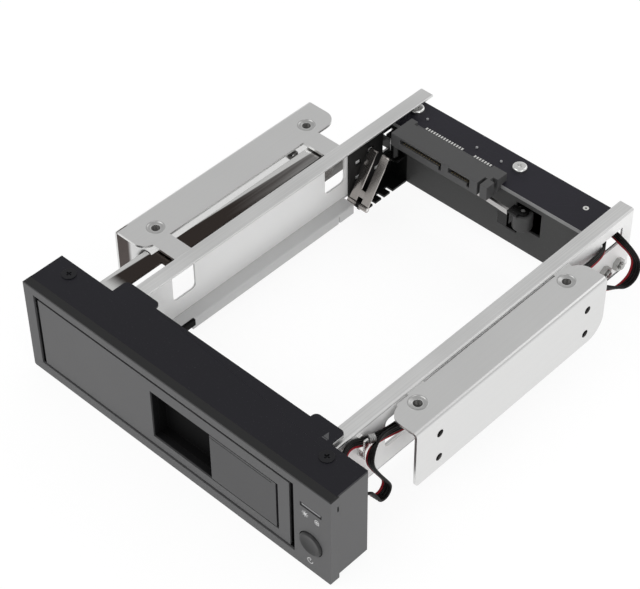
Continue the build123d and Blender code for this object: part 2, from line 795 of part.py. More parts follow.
# Ejector: a bar along the left rail, pushed back by the door's cam, turns the lever behind the drive
def make_slide_bar():
    """Wide strip in front, a strip beside the rail, then an upright leg hidden by the rail with a push tab."""
    tab_back = bar_tab_back()
    foot_y = hinge_y - cam_lead + cam_nose_r + bar_foot_gap
    leg_left = bar_rear_right - bar_gauge
    tab_bottom = lever_bottom + 0.6
    bar = block(bar_left, bar_front_right, foot_y, bar_step_y, bar_bottom, bar_top)
    bar += block(bar_foot_left, bar_front_right, foot_y, foot_y + bar_foot_width, bar_bottom, bar_top)
    bar += block(bar_foot_left, hinge_x - 1.5, foot_y, foot_y + bar_gauge, bar_foot_bottom, bar_top)
    bar += block(bar_rear_left, bar_rear_right, bar_step_y, bar_flat_back, bar_bottom, bar_top)
    bar += block(leg_left, bar_rear_right, bar_leg_front, bar_leg_front + bar_riser, bar_leg_top, bar_top)
    bar += block(leg_left, bar_rear_right, bar_leg_front, tab_back, tab_bottom, bar_leg_top)
    return bar + block(leg_left - bar_tab_reach, bar_rear_right, tab_back - bar_gauge, tab_back,
                       tab_bottom, tab_bottom + bar_tab_height)


def bar_tab_back():
    return lever_pin_y - lever_gauge / 2 - lever_tab_gap + 0.8


def make_bar_guides():
    """Channels under the left bracket's ears, open towards the rail."""
    guides = []
    right = bar_rear_right - bar_gauge - 0.3
    for y in (left_tab_front + tab_length / 2, left_tab_front + tab_pitch + tab_length / 2):
        top = bracket_top - bracket_gauge - 0.05
        guide = block(bar_rear_left - 1.2, right, y - 2.5, y + 2.5, bar_bottom - 1.4, top)
        guide -= block(bar_rear_left - 0.2, right + 1, y - 3, y + 3, bar_bottom - 0.2, bar_top + 0.2)
        guides.append(guide)
    return group(guides)


def make_lever():
    boss = rod_z(lever_pin_x, lever_pin_y, lever_bottom, lever_top, lever_boss_r)
    arm_left = bar_rear_right - bar_gauge - bar_tab_reach
    arm_y = lever_pin_y + 0.8
    half = lever_gauge / 2
    short_y = lever_pin_y + lever_arm_back
    arm_top = lever_bottom + lever_arm_height
    short = block(arm_left, lever_pin_x, short_y - half, short_y + half, lever_bottom, arm_top)
    short += block(arm_left, arm_left + lever_nose_width, arm_y - half, short_y, lever_bottom, arm_top)
    end_y = roller_y - roller_r + half
    length = math.hypot(roller_x - 1 - lever_pin_x, end_y - arm_y)
    turn = math.degrees(math.atan2(end_y - arm_y, roller_x - 1 - lever_pin_x))
    arm_end = length - 3.4
    long_arm = block(0, arm_end, -half, half, lever_top - lever_strip, lever_top)
    long_arm += block(arm_end - lever_web, arm_end, -half, half, lever_bottom, lever_top)
    lever = boss + short + Pos(lever_pin_x, arm_y, 0) * Rot(0, 0, turn) * long_arm
    for z in (lever_bottom, lever_top - lever_ear):
        ear = rod_z(roller_x, roller_y, z, z + lever_ear, 2.4)
        ear += block(roller_x - 4.6, roller_x, end_y - half, roller_y + 0.6, z, z + lever_ear)
        lever += ear
    lever -= rod_z(roller_x, roller_y, lever_bottom - 1, lever_top + 1, roller_pin_r + running_gap)
    return lever - rod_z(lever_pin_x, lever_pin_y, lever_bottom - 1, lever_top + 1, lever_pin_r + running_gap)


def make_lever_pin():
    z0, z1 = lever_bottom - 0.4 - cross_gauge, lever_top + 0.4 + cross_gauge
    return rod_z(lever_pin_x, lever_pin_y, z0, z1 + 0.5, lever_pin_r) + rod_z(lever_pin_x, lever_pin_y, z0 - 0.5, z0, 1.8)


def make_roller():
    z0, z1 = lever_bottom + lever_ear + 0.2, lever_top - lever_ear - 0.2
    roller = rod_z(roller_x, roller_y, z0, z1, roller_r)
    return roller - rod_z(roller_x, roller_y, z0 - 1, z1 + 1, roller_pin_r + running_gap)


def make_roller_pin():
    return rod_z(roller_x, roller_y, lever_bottom, lever_top, roller_pin_r)


def make_fork():
    """Two sprung prongs on one hinge, standing up at rest and laid flat by a drive."""
    x0 = fork_left
    pitch = fork_prong + fork_gap
    fork = block(x0, x0 + 2 * fork_prong + fork_gap, 3.0, 6.0, -fork_gauge / 2, fork_gauge / 2)
    for i in range(2):
        left = x0 + i * pitch
        fork += block(left, left + fork_prong, 0, fork_length, -fork_gauge / 2, fork_gauge / 2)
        fork += rod_x(0, 0, left, left + fork_prong, fork_barrel_r)
        fork += rod_x(fork_length, -0.3, left, left + fork_prong, 0.6)
        fork -= rod_x(0, 0, left - 1, left + fork_prong + 1, fork_pin_r + running_gap)
    return Pos(0, fork_hinge_y, fork_hinge_z) * Rot(fork_angle, 0, 0) * fork


def make_fork_pin():
    return rod_x(fork_hinge_y, fork_hinge_z, fork_left, fork_left + 2 * fork_prong + fork_gap, fork_pin_r)


# Harness clip on the right rail, the tie and the ribbons
def make_cable_clip():
    x0 = rail_x(1, sheet)
    outer = x0 + clip_reach
    clip = block(x0, x0 + sheet, *clip_y, clip_bottom, clip_top)
    clip += block(x0, outer, *clip_y, clip_bottom, clip_bottom + sheet)
    clip += block(outer - sheet, outer, *clip_y, clip_bottom, clip_top)
    return clip


def arc_path(points):
    """Straight runs joined by arcs as large as the runs allow, with the radii."""
    edges = []
    radii = []
    start = Vector(*points[0])
    for i in range(1, len(points) - 1):
        before, here, after = Vector(*points[i - 1]), Vector(*points[i]), Vector(*points[i + 1])
        back, ahead = (before - here), (after - here)
        trim = 0.45 * min(back.length, ahead.length)
        back, ahead = back.normalized(), ahead.normalized()
        turn = math.pi - math.acos(max(-1, min(1, back.dot(ahead))))
        radius = trim / math.tan(turn / 2)
        tangent_in, tangent_out = here + back * trim, here + ahead * trim
        bisector = (back + ahead).normalized()
        middle = here + bisector * (math.hypot(radius, trim) - radius)
        edges.append(Line(start, tangent_in))
        edges.append(ThreePointArc(tangent_in, middle, tangent_out))
        radii.append(radius)
        start = tangent_out
    edges.append(Line(start, Vector(*points[-1])))
    return Wire(edges), radii


# Each ribbon point holds the middle of the ribbon and the direction across its wires
upper_ribbon = (
    ((64.4, 17.0, 25.0), (0, 0, 1)),
    ((63.9, 21.0, 26.6), (0, -0.7, 1)),
    ((61.6, 24.8, 33.4), (0, -0.8, 1)),
    ((59.7, 29.6, 34.0), (0, 0, 1)),
    ((59.6, 38.0, 31.0), (0, 0, 1)),
    ((59.9, 50.0, 29.2), (0, 0, 1)),
    ((60.1, 60.0, 30.2), (0, 0, 1)),
    ((60.4, 74.0, 33.0), (0, 0, 1)),
    ((60.9, 108.0, 33.5), (0, 0, 1)),
    ((61.1, 138.0, 33.2), (0, 0, 1)),
    ((60.6, 154.0, 31.6), (0, 0, 1)),
    ((58.4, 162.4, 29.9), (0, 0, 1)),
    ((54.6, 166.8, 29.8), (0, 0, 1)),
    ((50.2, 168.0, 29.6), (0, 0, 1)),
)
lower_ribbon = (
    ((66.0, 16.7, 14.0), (0, 0, 1)),
    ((66.2, 22.0, 16.4), (0.2, 0, 1)),
    ((66.0, 27.4, 17.6), (0.9, 0, 0.7)),
    ((65.9, 31.6, 13.4), (1, 0, 0.3)),
    ((65.7, 35.2, 8.6), (1, 0, 0)),
    ((65.4, 38.8, 12.6), (1, 0, 0)),
    ((64.6, 34.6, 17.4), (1, 0, 0)),
    ((63.8, 31.6, 22.4), (1, 0, 0.1)),
    ((64.2, 29.2, 28.4), (1, 0, 0.2)),
    ((64.0, 31.0, 33.2), (0.8, 0, 0.6)),
    ((62.3, 36.0, 33.6), (0.3, 0, 0.95)),
    ((61.1, 43.0, 30.6), (0, 0, 1)),
    ((61.2, 50.0, 28.4), (0, 0, 1)),
    ((61.4, 62.0, 27.4), (0, 0, 1)),
    ((61.2, 90.0, 27.6), (0, 0, 1)),
    ((61.4, 122.0, 27.2), (0, 0, 1)),
    ((61.6, 142.0, 24.8), (0, 0, 1)),
    ((63.0, 153.5, 19.8), (0.3, 0, 1)),
    ((65.0, 161.5, 15.0), (0.7, 0, 0.7)),
    ((65.4, 167.0, 12.6), (1, 0, 0.2)),
    ((65.6, 172.4, 14.0), (1, 0, 0)),
    ((65.2, 174.4, 19.4), (1, 0, 0)),
    ((63.6, 172.6, 24.6), (0.9, 0, 0.3)),
    ((60.6, 170.6, 28.8), (0.5, 0, 0.9)),
    ((55.8, 171.4, 29.8), (0, 0, 1)),
    ((50.2, 172.4, 29.8), (0, 0, 1)),
)


def make_wires(points, places):
    wires = []
    for place in places:
        line = [tuple(c + d / math.hypot(*across) * place * wire_pitch for c, d in zip(centre, across))
                for centre, across in points]
        path, radii = arc_path(line)
        section = Plane(origin=path @ 0, z_dir=path % 0) * Circle(wire_r)
        wire = sweep(section, path=path)
        print("wire", place, "radii", [round(r, 1) for r in radii], "ratio",
              round(wire.volume / (math.pi * wire_r ** 2 * path.length), 4))
        wires.append(wire)
    return group(wires)


black_places = (-0.5, 0.5, 1.5)
red_places = (-1.5,)

nodes = {
    "bezel_frame": make_bezel(),
    "bezel_top_cover": make_cover(),
    "cover_screws": make_cover_screws(),
    "door_panel": make_door(),
    "door_hinge_pin": make_hinge_pin(),
    "door_cam": make_door_cam(),
    "finger_cup": make_finger_cup(),
    "latch_handle": make_latch_handle(),
    "latch_pin": make_latch_pin(),
    "latch_spring": make_latch_spring(),
    "latch_keeper": make_latch_keeper(),
    "power_button": make_power_button(),
    "button_spring": make_button_spring(),
    "front_board": make_front_board(),
    "front_board_screws": make_board_screws(),
    "button_switch": make_switch(),
    "status_leds": make_leds(),
    "light_pipe": make_light_pipe(),
    "front_cable_headers": make_front_headers(),
    "left_rail": make_rail(-1),
    "right_rail": make_rail(1),
    "rail_screws": make_rail_screws(),
    "left_side_bracket": make_bracket(-1),
    "right_side_bracket": make_bracket(1),
    "left_bracket_rivets": make_rivets(-1),
    "right_bracket_rivets": make_rivets(1),
    "rear_crossmember": make_crossmember(),
    "roller_housing": make_roller_housing(),
    "crossmember_screws": make_cross_screws(),
    "crossmember_nuts": make_cross_nuts(),
    "rear_board": make_rear_board(),
    "rear_board_screws": make_rear_board_screws(),
    "drive_connector": make_drive_connector(),
    "connector_contacts": make_contacts(),
    "connector_solder_legs": make_solder_legs(),
    "connector_pegs": make_pegs(),
    "data_port": make_port(data_port_left, data_port_width),
    "power_port": make_port(power_port_left, power_port_width),
    "rear_cable_headers": make_rear_headers(),
    "slide_bar": make_slide_bar(),
    "slide_bar_guides": make_bar_guides(),
    "ejector_lever": make_lever(),
    "lever_pin": make_lever_pin(),
    "ejector_roller": make_roller(),
    "roller_pin": make_roller_pin(),
    "hold_down_fork": make_fork(),
    "fork_pin": make_fork_pin(),
    "cable_clip": make_cable_clip(),
    "upper_ribbon_black": make_wires(upper_ribbon, black_places),
    "upper_ribbon_red": make_wires(upper_ribbon, red_places),
    "lower_ribbon_black": make_wires(lower_ribbon, black_places),
    "lower_ribbon_red": make_wires(lower_ribbon, red_places),
}

# The origin is the middle of the footprint, at the bezel's lower edge
to_origin = Pos(0, -(overall_depth - button_proud) / 2, 0)
for name, shape in nodes.items():
    export_step(to_origin * shape, f"parts/{name}.step")
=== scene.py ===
import json
import math

import bmesh
import bpy
from mathutils import Matrix, Vector

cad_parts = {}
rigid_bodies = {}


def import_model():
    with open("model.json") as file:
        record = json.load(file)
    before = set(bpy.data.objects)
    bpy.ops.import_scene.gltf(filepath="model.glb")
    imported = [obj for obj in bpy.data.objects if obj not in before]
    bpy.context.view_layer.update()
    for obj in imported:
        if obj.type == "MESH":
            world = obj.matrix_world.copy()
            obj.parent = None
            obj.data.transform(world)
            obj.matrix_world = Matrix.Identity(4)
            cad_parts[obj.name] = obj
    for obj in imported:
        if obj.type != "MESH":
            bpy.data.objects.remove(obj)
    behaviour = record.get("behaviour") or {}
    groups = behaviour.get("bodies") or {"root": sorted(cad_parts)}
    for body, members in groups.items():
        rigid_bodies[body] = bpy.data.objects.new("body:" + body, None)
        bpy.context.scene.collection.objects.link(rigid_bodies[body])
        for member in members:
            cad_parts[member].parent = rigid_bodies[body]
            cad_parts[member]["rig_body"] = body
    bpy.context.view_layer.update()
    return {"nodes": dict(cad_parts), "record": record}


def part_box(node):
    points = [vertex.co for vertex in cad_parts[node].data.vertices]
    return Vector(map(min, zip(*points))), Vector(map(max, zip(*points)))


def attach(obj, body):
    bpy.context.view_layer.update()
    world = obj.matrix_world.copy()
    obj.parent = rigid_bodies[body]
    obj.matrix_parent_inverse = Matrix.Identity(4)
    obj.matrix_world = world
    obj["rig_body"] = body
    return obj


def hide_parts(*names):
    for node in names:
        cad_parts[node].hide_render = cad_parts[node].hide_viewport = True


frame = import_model()


# Bezel: one moulding in charcoal plastic with a fine spark-eroded grain. Its flange stands round
# the door, and the shallow housing behind it carries the cover, the front board and the rails. The
# class and the first functions make the node trees of every finish and stand pieces in for solids.
class Socket:
    """A socket of a material's nodes, on which plain arithmetic works."""

    def __init__(self, tree, socket=None):
        self.tree = tree
        self.socket = socket

    def node(self, kind, settings=(), sockets=(), output=0):
        made = self.tree.nodes.new(kind)
        for key, value in dict(settings).items():
            if key == "stops":
                ramp = made.color_ramp
                for stop, (place, colour) in zip(ramp.elements, value):
                    stop.position = place
                    stop.color = colour
            else:
                setattr(made, key, value)
        for key, value in dict(sockets).items():
            if isinstance(value, Socket):
                self.tree.links.new(value.socket, made.inputs[key])
            else:
                made.inputs[key].default_value = value
        return Socket(self.tree, made.outputs[output])

    def math(self, operation, first, second):
        return self.node("ShaderNodeMath", {"operation": operation}, {0: first, 1: second})

    def __add__(self, other):
        return self.math("ADD", self, other)

    __radd__ = __add__

    def __sub__(self, other):
        return self.math("SUBTRACT", self, other)

    def __rsub__(self, other):
        return self.math("SUBTRACT", other, self)

    def __mul__(self, other):
        return self.math("MULTIPLY", self, other)

    def __gt__(self, other):
        return self.math("GREATER_THAN", self, other)

    def __lt__(self, other):
        return self.math("LESS_THAN", self, other)


def start_finish(name):
    """A new material, the socket of its object coordinates, and its shader."""
    material = bpy.data.materials.new(name)
    material.use_nodes = True
    tree = material.node_tree
    shader = tree.nodes["Principled BSDF"]
    place = Socket(tree).node("ShaderNodeTexCoord", output="Object")
    return material, place, shader


def feed(shader, **sockets):
    """Links or sets the shader's sockets, named with underscores."""
    tree = shader.id_data
    for name, value in sockets.items():
        target = shader.inputs[name.replace("_", " ")]
        if isinstance(value, Socket):
            tree.links.new(value.socket, target)
        else:
            target.default_value = value


def cloud(place, scale, detail=3.0, stretch=(1, 1, 1)):
    """Soft noise from 0 to 1, with scale in cycles a metre."""
    mapped = place.node("ShaderNodeMapping", sockets={"Vector": place, "Scale": stretch})
    return place.node("ShaderNodeTexNoise", sockets={"Vector": mapped, "Scale": scale, "Detail": detail})


def mixed(mask, first, second):
    """A colour that goes from first to second, each a colour or a socket, as the mask rises."""
    ends = [value if isinstance(value, Socket) else (*value, 1) for value in (first, second)]
    return mask.node("ShaderNodeMix", {"data_type": "RGBA"}, {0: mask, 6: ends[0], 7: ends[1]}, output=2)


def ramped(value, start, end, first=0.0, last=1.0):
    """A smooth change from first to last as a value goes from start to end."""
    return value.node("ShaderNodeMapRange", {"interpolation_type": "SMOOTHSTEP"},
                      {"Value": value, "From Min": start, "From Max": end, "To Min": first, "To Max": last})


def bumped(height, depth, strength=1.0):
    """A normal raised by a height from 0 to 1, depth metres deep."""
    return height.node("ShaderNodeBump", sockets={"Height": height, "Distance": depth, "Strength": strength})


def axis_of(place, axis):
    """One object coordinate as a socket."""
    return place.node("ShaderNodeSeparateXYZ", sockets={"Vector": place}, output=axis)


def moulded(name, colour, rough, grain=5200, depth=0.00002, black=None, shine=0.5):
    """Moulded plastic: eroded grain, slow changes of gloss, and black painted shade where the mask says."""
    material, place, shader = start_finish(name)
    fine = cloud(place, grain, 4)
    broad = cloud(place, 38, 3)
    lighter = tuple(c * 1.16 + 0.003 for c in colour)
    shade = mixed(fine * 0.5 + broad * 0.5, tuple(c * 0.88 for c in colour), lighter)
    # Painted shade: the mask's places are painted near-black.
    if black:
        shade = mixed(black(place), shade, (0.004, 0.004, 0.0045))
    feed(shader, Base_Color=shade, Roughness=rough - 0.06 + broad * 0.12 + fine * 0.05,
         Normal=bumped(fine, depth, 0.6), Specular_IOR_Level=shine)
    return material


def at(x, y, z):
    """A point in millimetres, measured back from the bezel's face, in the frame's metres."""
    return Vector((x, y - 89.0, z)) / 1000


def placed(name, data):
    """A new object in the scene."""
    thing = bpy.data.objects.new(name, data)
    bpy.context.scene.collection.objects.link(thing)
    return thing


def made(name, shape, body, finish, slot):
    """Turns a bmesh into a piece that rides on a body, with its faces smooth and hard edges kept."""
    for face in shape.faces:
        face.smooth = True
    mesh = bpy.data.meshes.new(name)
    shape.to_mesh(mesh)
    shape.free()
    mesh.set_sharp_from_angle(angle=math.radians(38))
    mesh.materials.append(finish)
    piece = placed(name, mesh)
    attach(piece, body)
    return piece


def joined_copy(node):
    """The triangles of a solid from the source, joined, with its flat faces whole."""
    shape = bmesh.new()
    shape.from_mesh(frame["nodes"][node].data)
    bmesh.ops.remove_doubles(shape, verts=shape.verts, dist=1e-6)
    bmesh.ops.dissolve_limit(shape, angle_limit=math.radians(0.5), verts=shape.verts, edges=shape.edges)
    return shape


def round_edges(piece, radius, segments=2):
    """Breaks a piece's hard edges, and keeps its flat faces flat in the light."""
    edges = piece.modifiers.new("edges", "BEVEL")
    edges.width = radius / 1000
    edges.segments = segments
    edges.limit_method = "ANGLE"
    edges.angle_limit = math.radians(38)
    edges.miter_outer = "MITER_ARC"
    flats = piece.modifiers.new("flats", "WEIGHTED_NORMAL")
    flats.keep_sharp = False
    flats.weight = 80
    return piece


def slot_of(node):
    """The record's material slot of a node."""
    return next(row["material_slot"] for row in frame["record"]["subparts"] if row["node"] == node)


def eased(node, name, radius, finish, segments=2):
    """The finished piece that stands for a node: its own solid with its edges broken."""
    piece = made(name, joined_copy(node), frame["nodes"][node]["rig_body"], finish, slot_of(node))
    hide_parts(node)
    return round_edges(piece, radius, segments)


def dress(node, finish):
    """Gives a node that stays its finish."""
    mesh = frame["nodes"][node].data
    mesh.materials.clear()
    mesh.materials.append(finish)


opening_left, opening_right = -0.0692, 0.0577
opening_bottom, opening_top = 0.0041, 0.0383
opening_front = -0.0882
cover_step = 0.04125


def bezel_painted_shade(place):
    """Painted shade: near-black on the step in front of the cover, and on the opening's walls behind the
    bezel's face.
    """
    x, y, z = (axis_of(place, axis) for axis in "XYZ")
    across = (x > opening_left) * (x < opening_right)
    opening = across * (z > opening_bottom) * (z < opening_top) * (y > opening_front)
    return opening.math("MAXIMUM", opening, z > cover_step)


charcoal_plastic = moulded("charcoal_plastic", (0.088, 0.088, 0.09), 0.44, black=bezel_painted_shade, shine=0.42)
eased("bezel_frame", "bezel", 0.3, charcoal_plastic)


# Top cover: steel sheet with a smooth near-black lacquer, laid in the bezel's step and held by
# two black screws. Its two ears reach back over the rails.
def lacquered(name, colour, rough, peel=0.000012, black=None):
    """Sprayed lacquer on steel: faint orange peel and dust specks, and black painted shade where the mask
    says.
    """
    material, place, shader = start_finish(name)
    skin = cloud(place, 1500, 2)
    broad = cloud(place, 24, 2)
    specks = cloud(place, 2600, 1) > 0.74
    shade = mixed(broad, tuple(c * 0.85 for c in colour), tuple(c * 1.2 for c in colour))
    shade = mixed(specks * 0.12, shade, (0.3, 0.3, 0.32))
    # Painted shade: near-black where the mask says.
    if black:
        shade = mixed(black(place), shade, (0.003, 0.003, 0.003))
    feed(shader, Base_Color=shade, Roughness=rough - 0.05 + broad * 0.1 + skin * 0.06,
         Normal=bumped(skin, peel, 0.5), Specular_IOR_Level=0.26)
    return material


cover_lacquer = lacquered("cover_lacquer", (0.0062, 0.0058, 0.0098), 0.42)
eased("bezel_top_cover", "top_cover", 0.25, cover_lacquer, 3)
black_screw_finish = lacquered("black_screw_finish", (0.007, 0.007, 0.009), 0.4)
eased("cover_screws", "top_cover_screws", 0.15, black_screw_finish)


# Door: a flat plastic panel a shade lighter than the bezel, hinged on a steel pin at the left, with a finger
# cup of black plastic behind its opening, painted darker still and nearly without sheen as painted shade of
# that recess. The sides of the panel and of the latch handle are painted black, painted shade in the gaps
# round them.
panel_edge = -0.0879


def gap_painted_shade(place):
    """Painted shade: black on all of a panel but its face, so that the gaps round it read as dark lines."""
    return axis_of(place, "Y") > panel_edge


door_plastic = moulded("door_plastic", (0.074, 0.074, 0.076), 0.42, black=gap_painted_shade)
eased("door_panel", "door", 0.25, door_plastic)
# Painted shade: near-black and nearly without sheen, as the shade in a recess; also used for the light bar's
# slot and the rail lip's notch.
painted_shade_black = moulded("painted_shade_black", (0.002, 0.002, 0.0022), 0.7, shine=0.12)
eased("finger_cup", "cup", 0.25, painted_shade_black)
handle_plastic = moulded("handle_plastic", (0.044, 0.044, 0.046), 0.42, black=gap_painted_shade)
eased("latch_handle", "handle", 0.2, handle_plastic)


def steel(name, colour, rough, streak=0.1, stretch=(1, 0.004, 1)):
    """Steel with its rolling lines along one direction, and faint smears where it was handled."""
    material, place, shader = start_finish(name)
    lines = cloud(place, 2600, 3, stretch)
    smears = cloud(place, 30, 3)
    fleck = cloud(place, 420, 3, (1, 0.25, 1))
    mask = lines * 0.55 + smears * 0.25 + fleck * 0.2
    dark = tuple(c * (1 - streak) for c in colour)
    light = tuple(min(1.0, c * (1 + streak)) for c in colour)
    feed(shader, Base_Color=mixed(mask, dark, light), Metallic=1.0,
         Roughness=rough - 0.06 + smears * 0.1 + lines * 0.06,
         Normal=bumped(lines, 0.000004, 0.5))
    return material


# Pins, springs and small screws of bright steel, the door's cam, and the keeper that the latch
# handle's hook catches behind.
bright_pin_steel = steel("bright_pin_steel", (0.78, 0.78, 0.77), 0.24, 0.06, (1, 1, 0.02))
for node in ("door_hinge_pin", "latch_pin", "front_board_screws", "lever_pin", "roller_pin", "fork_pin"):
    dress(node, bright_pin_steel)
cam_plastic = moulded("cam_plastic", (0.014, 0.014, 0.015), 0.45)
eased("door_cam", "cam", 0.2, cam_plastic)
eased("latch_keeper", "keeper", 0.12, bright_pin_steel)


# Latch spring: ten turns of steel wire round the latch pin, which push the handle shut. It is
# a little lower than the room that its solid takes.
def coil(name, node, middle, radius, wire, turns, height):
    """Wire wound round an upright pin."""
    shape = bmesh.new()
    ring = bmesh.ops.create_circle(shape, cap_ends=False, segments=8, radius=wire)["verts"]
    bmesh.ops.rotate(shape, cent=(0, 0, 0), matrix=Matrix.Rotation(math.pi / 2, 3, "X"), verts=ring)
    bmesh.ops.translate(shape, vec=middle + Vector((radius, 0, -height / 2)), verts=ring)
    steps = turns * 20
    bmesh.ops.spin(shape, geom=shape.verts[:] + shape.edges[:], cent=middle, axis=(0, 0, 1),
                   dvec=(0, 0, height / steps), angle=turns * math.tau, steps=steps, use_duplicate=False)
    bmesh.ops.holes_fill(shape, edges=[edge for edge in shape.edges if edge.is_boundary], sides=0)
    bmesh.ops.recalc_face_normals(shape, faces=shape.faces)
    piece = made(name, shape, frame["nodes"][node]["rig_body"], bright_pin_steel, slot_of(node))
    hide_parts(node)
    return piece


coil_radius = 0.00099
coil_wire = 0.00014
coil_turns = 10
coil_play = 0.0003
spring_low, spring_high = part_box("latch_spring")
coil("latch_coil", "latch_spring", (spring_low + spring_high) / 2, coil_radius, coil_wire, coil_turns,
     spring_high.z - spring_low.z - coil_play)


# Power button: a black cap with a soft round edge and a slightly dished face, on a stem that
# works the switch on the front board.
def turned(shape, profile, centre, axis, steps=48):
    """Spins a line of (radius, distance) points round an axis and closes it, distances along it."""
    along = Vector(axis)
    out = along.orthogonal().normalized()
    rim = [shape.verts.new(centre + out * radius / 1000 + along * far / 1000) for radius, far in profile]
    line = [shape.edges.new(pair) for pair in zip(rim, rim[1:])]
    bmesh.ops.spin(shape, geom=rim + line, cent=centre, axis=along, angle=math.tau, steps=steps,
                   use_merge=True, use_duplicate=False)
    bmesh.ops.remove_doubles(shape, verts=shape.verts, dist=1e-7)
    bmesh.ops.recalc_face_normals(shape, faces=shape.faces)


button_centre = at(65.0, 0.0, 14.0)
button_profile = [(0, -0.42), (1.6, -0.45), (3.0, -0.58), (3.9, -0.78), (4.35, -0.8), (4.7, -0.7),
                  (4.92, -0.4), (5.0, 0.1), (5.0, 4.3), (4.6, 4.4), (1.6, 4.4), (1.6, 5.6), (0, 5.65)]
button_plastic = moulded("button_plastic", (0.02, 0.02, 0.021), 0.36, 2600, 0.00001, shine=0.3)
button_shape = bmesh.new()
turned(button_shape, button_profile, button_centre, (0, 1, 0))
power_button = made("button", button_shape, "button", button_plastic, "black_plastic")
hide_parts("power_button")
dress("button_spring", bright_pin_steel)


# Front board: a small lacquered board behind the bezel's right end with the switch, two lamps,
# a clear light bar in the bezel's slot, and the sockets of both ribbons.
board_edge_front, board_edge_back = 0.0707, 0.07095


def board_lacquer(name, colour):
    """Solder mask over copper with a faint relief, and a pale band at the rear board's front: its cut edge,
    and a painted highlight where the band runs onto the top face.
    """
    material, place, shader = start_finish(name)
    pours = place.node("ShaderNodeTexVoronoi", {"feature": "DISTANCE_TO_EDGE", "distance": "CHEBYCHEV"},
                       {"Vector": place, "Scale": 210, "Randomness": 0.9}, output="Distance")
    gaps = pours < 0.05
    broad = cloud(place, 60, 3)
    tint = mixed(broad, tuple(c * 0.85 for c in colour), tuple(c * 1.15 for c in colour))
    shade = mixed(gaps * 0.3, tint, (0.012, 0.011, 0.02))
    depth = axis_of(place, "Y")
    # The pale band is the board's cut edge and, on the top face just behind it, a painted highlight.
    cut_edge_and_highlight = (depth > board_edge_front) * (depth < board_edge_back)
    feed(shader, Base_Color=mixed(cut_edge_and_highlight, shade, (0.3, 0.3, 0.3)), Roughness=0.4 + broad * 0.1,
         Normal=bumped(1.0 - gaps, 0.00002, 0.3), Specular_IOR_Level=0.28)
    return material


board_finish = board_lacquer("board_finish", (0.011, 0.01, 0.017))
eased("front_board", "lamp_board", 0.06, board_finish, 1)
switch_plastic = moulded("switch_plastic", (0.02, 0.02, 0.021), 0.45)
eased("button_switch", "tact_switch", 0.15, switch_plastic)
socket_plastic = moulded("socket_plastic", (0.5, 0.49, 0.46), 0.5)
eased("front_cable_headers", "front_sockets", 0.2, socket_plastic)
lamp_finish, lamp_place, lamp_shader = start_finish("lamp_finish")
lamp_glow = cloud(lamp_place, 900, 2)
feed(lamp_shader, Base_Color=mixed(lamp_glow, (0.7, 0.72, 0.75), (0.85, 0.88, 0.92)),
     Roughness=0.25 + lamp_glow * 0.1)
eased("status_leds", "lamps", 0.15, lamp_finish)
light_bar_finish, bar_place, bar_shader = start_finish("light_bar_finish")
haze = cloud(bar_place, 1200, 2, (1, 1, 6))
feed(bar_shader, Base_Color=mixed(haze, (0.2, 0.2, 0.205), (0.42, 0.42, 0.43)),
     Roughness=0.25 + haze * 0.25, Normal=bumped(haze, 0.00002, 0.5))
eased("light_pipe", "light_bar", 0.15, light_bar_finish)


# Printed signs: a lamp, a disk and a power sign in pale ink on the bezel, the common ones of such panels, a
# few hundredths of a millimetre thick. A black frame round the light bar is painted shade of its recessed
# slot, and a short black mark on the bezel's right side is painted shade of a small slot there.
face_film_front, face_film_back = -0.02, 0.01
power_sign = (64.6, 5.0)
lamp_sign = (62.6, 27.4)
disk_sign = (67.85, 27.1)
rays_of_lamp = 8


def brick(shape, low, high):
    """Adds a box between two corners and gives back its vertices."""
    corners = bmesh.ops.create_cube(shape, size=1)["verts"]
    bmesh.ops.scale(shape, vec=high - low, verts=corners)
    bmesh.ops.translate(shape, vec=(low + high) / 2, verts=corners)
    return corners


def ink_and_shade_strip(shape, left, bottom, right, top):
    """A thin rectangle on the bezel's face, of ink for the signs and of painted shade for the light bar's
    frame.
    """
    return brick(shape, at(left, face_film_front, bottom), at(right, face_film_back, top))


def ink_and_shade_frame(shape, left, bottom, right, top, line, top_line):
    """Four thin strips along the sides of a rectangle, of ink for the disk sign and of painted shade round
    the light bar.
    """
    ink_and_shade_strip(shape, left, bottom, right, bottom + line)
    ink_and_shade_strip(shape, left, top - top_line, right, top)
    ink_and_shade_strip(shape, left, bottom, left + line, top)
    ink_and_shade_strip(shape, right - line, bottom, right, top)


def ink_arc(shape, centre, radius, width, angle_from, angle, steps=24):
    """A ring or part of a ring of ink, flat on the bezel's face."""
    section = [at(centre[0] + r, y, centre[1]) for r, y in
               ((radius - width / 2, face_film_front), (radius + width / 2, face_film_front),
                (radius + width / 2, face_film_back), (radius - width / 2, face_film_back))]
    face = shape.faces.new([shape.verts.new(point) for point in section])
    middle = at(centre[0], 0, centre[1])
    bmesh.ops.rotate(shape, cent=middle, matrix=Matrix.Rotation(angle_from, 3, "Y"), verts=face.verts)
    bmesh.ops.spin(shape, geom=list(face.verts) + list(face.edges) + [face], cent=middle, axis=(0, 1, 0),
                   angle=angle, steps=steps, use_merge=abs(angle - math.tau) < 0.01, use_duplicate=False)


